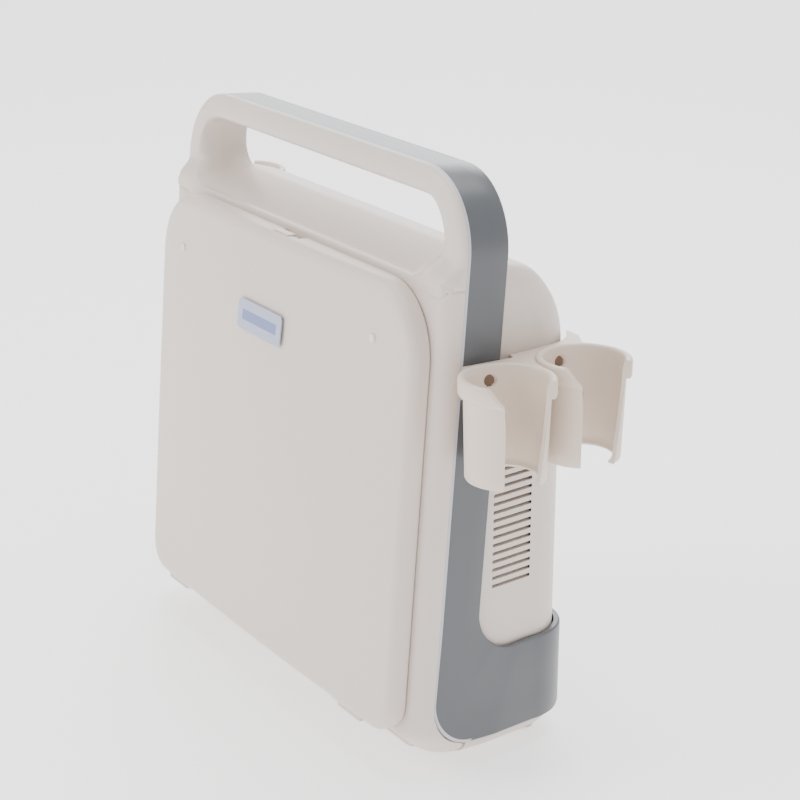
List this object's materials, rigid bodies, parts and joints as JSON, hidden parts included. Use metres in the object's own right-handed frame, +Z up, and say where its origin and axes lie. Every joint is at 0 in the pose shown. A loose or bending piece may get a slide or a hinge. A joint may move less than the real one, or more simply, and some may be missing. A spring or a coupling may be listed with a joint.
{
  "type": "portable ultrasound scanner",
  "caption": "Upright portable ultrasound scanner folded shut: carrying handle over a leaning slab, drop-down keyboard, side probe cups, side vents.",
  "frame": {"origin": "on the table, under the middle of the machine's width and depth", "axes": "+X across the machine to the side with two probe cups, -Y towards the operator, +Z up"},
  "size_m": [0.4344, 0.1386, 0.3497],
  "materials": {
    "cover_white": "satin moulded",
    "band_grey": "satin moulded",
    "dark_plastic": "satin",
    "foot_rubber": "matte",
    "sheet_steel": "zinc plated",
    "board_green": "solder mask",
    "brass": "turned",
    "fin_aluminium": "extruded",
    "screen_glass": "polished",
    "battery_blue": "shrink sleeve",
    "deck_plastic": "fine texture",
    "key_white": "fine texture",
    "key_grey": "fine texture",
    "freeze_blue": "polished",
    "power_green": "polished",
    "ball_red": "polished",
    "label_blue": "laminated film"
  },
  "bodies": {
    "machine": {"front_housing": "cover_white", "mid_band": "band_grey", "rear_cover": "cover_white", "base_tray": "cover_white", "rubber_feet": "foot_rubber", "trolley_inserts": "brass", "screen_bezel": "dark_plastic", "screen_glass": "screen_glass", "lcd_module": "sheet_steel", "lcd_bracket": "sheet_steel", "main_board": "board_green", "heat_sink": "fin_aluminium", "rear_chassis": "sheet_steel", "beamformer_board": "board_green", "power_supply": "sheet_steel", "battery_pack": "battery_blue", "fan_frame": "dark_plastic", "speaker": "dark_plastic", "probe_sockets": "dark_plastic", "io_panel": "dark_plastic", "mains_inlet": "dark_plastic", "earth_stud": "brass", "cover_screws": "sheet_steel", "probe_holder_right": "cover_white", "probe_holder_left": "cover_white", "holder_screws": "sheet_steel", "hinge_brackets": "sheet_steel"},
    "keyboard": {"hinge_pins": "sheet_steel", "keyboard_cover": "cover_white", "keyboard_deck": "deck_plastic", "keyboard_board": "board_green", "keyboard_feet": "key_white", "label_plate": "label_blue", "trackball_ring": "sheet_steel", "trackball_socket": "dark_plastic"},
    "latch_slide": {"latch_slide": "cover_white"},
    "trackball": {"trackball": "ball_red"},
    "gain_knob": {"gain_knob": "dark_plastic"},
    "menu_dial": {"menu_dial": "dark_plastic"},
    "freeze_button": {"freeze_button": "freeze_blue"},
    "print_button": {"print_button": "key_white"},
    "power_button": {"power_button": "power_green"},
    "ball_key_left": {"ball_key_left": "key_grey"},
    "ball_key_right": {"ball_key_right": "key_grey"},
    "function_keys": {"function_keys": "key_grey"},
    "mode_keys": {"mode_keys": "key_grey"},
    "key_row_1": {"key_row_1": "key_white"},
    "key_row_2": {"key_row_2": "key_white"},
    "key_row_3": {"key_row_3": "key_white"},
    "key_row_4": {"key_row_4": "key_white"},
    "tgc_slider_1": {"tgc_slider_1": "dark_plastic"},
    "tgc_slider_2": {"tgc_slider_2": "dark_plastic"},
    "tgc_slider_3": {"tgc_slider_3": "dark_plastic"},
    "tgc_slider_4": {"tgc_slider_4": "dark_plastic"},
    "tgc_slider_5": {"tgc_slider_5": "dark_plastic"},
    "tgc_slider_6": {"tgc_slider_6": "dark_plastic"},
    "power_rocker": {"power_rocker": "dark_plastic"},
    "socket_lock_left": {"socket_lock_left": "sheet_steel"},
    "socket_lock_right": {"socket_lock_right": "sheet_steel"},
    "fan_rotor": {"fan_rotor": "dark_plastic"}
  },
  "joints": [
    {"name": "keyboard_fold", "type": "hinge", "parent": "machine", "child": "keyboard", "pos_m": [0, -0.05659, 0.03086], "axis": [1, 0, 0], "range_deg": [0, 97]},
    {"name": "latch_release", "type": "slide", "parent": "keyboard", "child": "latch_slide", "axis": [1, 0, 0], "range_m": [0, 0.007], "stiffness_N_per_m": 120, "springref_m": -0.002},
    {"name": "trackball_roll", "type": "hinge", "parent": "keyboard", "child": "trackball", "pos_m": [0, -0.04519, 0.2128], "axis": [1, 0, 0], "continuous": true},
    {"name": "gain_turn", "type": "hinge", "parent": "keyboard", "child": "gain_knob", "pos_m": [-0.092, -0.0397, 0.21243], "axis": [0, 0.9977, -0.068], "continuous": true},
    {"name": "menu_turn", "type": "hinge", "parent": "keyboard", "child": "menu_dial", "pos_m": [0.092, -0.0397, 0.21243], "axis": [0, 0.9977, -0.068], "continuous": true},
    {"name": "freeze_button_press", "type": "slide", "parent": "keyboard", "child": "freeze_button", "axis": [0, -0.9977, 0.068], "range_m": [0, 0.0015], "stiffness_N_per_m": 900, "springref_m": -0.0006},
    {"name": "print_button_press", "type": "slide", "parent": "keyboard", "child": "print_button", "axis": [0, -0.9977, 0.068], "range_m": [0, 0.0015], "stiffness_N_per_m": 900, "springref_m": -0.0006},
    {"name": "power_button_press", "type": "slide", "parent": "keyboard", "child": "power_button", "axis": [0, -0.9977, 0.068], "range_m": [0, 0.0015], "stiffness_N_per_m": 900, "springref_m": -0.0006},
    {"name": "ball_key_left_press", "type": "slide", "parent": "keyboard", "child": "ball_key_left", "axis": [0, -0.9977, 0.068], "range_m": [0, 0.0015], "stiffness_N_per_m": 900, "springref_m": -0.0006},
    {"name": "ball_key_right_press", "type": "slide", "parent": "keyboard", "child": "ball_key_right", "axis": [0, -0.9977, 0.068], "range_m": [0, 0.0015], "stiffness_N_per_m": 900, "springref_m": -0.0006},
    {"name": "function_keys_press", "type": "slide", "parent": "keyboard", "child": "function_keys", "axis": [0, -0.9977, 0.068], "range_m": [0, 0.0015], "stiffness_N_per_m": 1500, "springref_m": -0.0006},
    {"name": "mode_keys_press", "type": "slide", "parent": "keyboard", "child": "mode_keys", "axis": [0, -0.9977, 0.068], "range_m": [0, 0.0015], "stiffness_N_per_m": 1500, "springref_m": -0.0006},
    {"name": "key_row_1_press", "type": "slide", "parent": "keyboard", "child": "key_row_1", "axis": [0, -0.9977, 0.068], "range_m": [0, 0.0015], "stiffness_N_per_m": 2500, "springref_m": -0.0006},
    {"name": "key_row_2_press", "type": "slide", "parent": "keyboard", "child": "key_row_2", "axis": [0, -0.9977, 0.068], "range_m": [0, 0.0015], "stiffness_N_per_m": 2500, "springref_m": -0.0006},
    {"name": "key_row_3_press", "type": "slide", "parent": "keyboard", "child": "key_row_3", "axis": [0, -0.9977, 0.068], "range_m": [0, 0.0015], "stiffness_N_per_m": 2500, "springref_m": -0.0006},
    {"name": "key_row_4_press", "type": "slide", "parent": "keyboard", "child": "key_row_4", "axis": [0, -0.9977, 0.068], "range_m": [0, 0.0015], "stiffness_N_per_m": 2500, "springref_m": -0.0006},
    {"name": "tgc_slider_1_move", "type": "slide", "parent": "keyboard", "child": "tgc_slider_1", "axis": [1, 0, 0], "range_m": [-0.011, 0.011]},
    {"name": "tgc_slider_2_move", "type": "slide", "parent": "keyboard", "child": "tgc_slider_2", "axis": [1, 0, 0], "range_m": [-0.011, 0.011]},
    {"name": "tgc_slider_3_move", "type": "slide", "parent": "keyboard", "child": "tgc_slider_3", "axis": [1, 0, 0], "range_m": [-0.011, 0.011]},
    {"name": "tgc_slider_4_move", "type": "slide", "parent": "keyboard", "child": "tgc_slider_4", "axis": [1, 0, 0], "range_m": [-0.011, 0.011]},
    {"name": "tgc_slider_5_move", "type": "slide", "parent": "keyboard", "child": "tgc_slider_5", "axis": [1, 0, 0], "range_m": [-0.011, 0.011]},
    {"name": "tgc_slider_6_move", "type": "slide", "parent": "keyboard", "child": "tgc_slider_6", "axis": [1, 0, 0], "range_m": [-0.011, 0.011]},
    {"name": "power_rock", "type": "hinge", "parent": "machine", "child": "power_rocker", "pos_m": [0.104, 0.06034, 0.108], "axis": [1, 0, 0], "range_deg": [0, 16]},
    {"name": "socket_lock_left_turn", "type": "hinge", "parent": "machine", "child": "socket_lock_left", "pos_m": [-0.042, 0.06534, 0.1808], "axis": [0, 1, 0], "range_deg": [0, 90]},
    {"name": "socket_lock_right_turn", "type": "hinge", "parent": "machine", "child": "socket_lock_right", "pos_m": [0.042, 0.06534, 0.1808], "axis": [0, 1, 0], "range_deg": [0, 90]},
    {"name": "fan_spin", "type": "hinge", "parent": "machine", "child": "fan_rotor", "pos_m": [-0.138, 0.02484, 0.142], "axis": [1, 0, 0], "continuous": true}
  ]
}
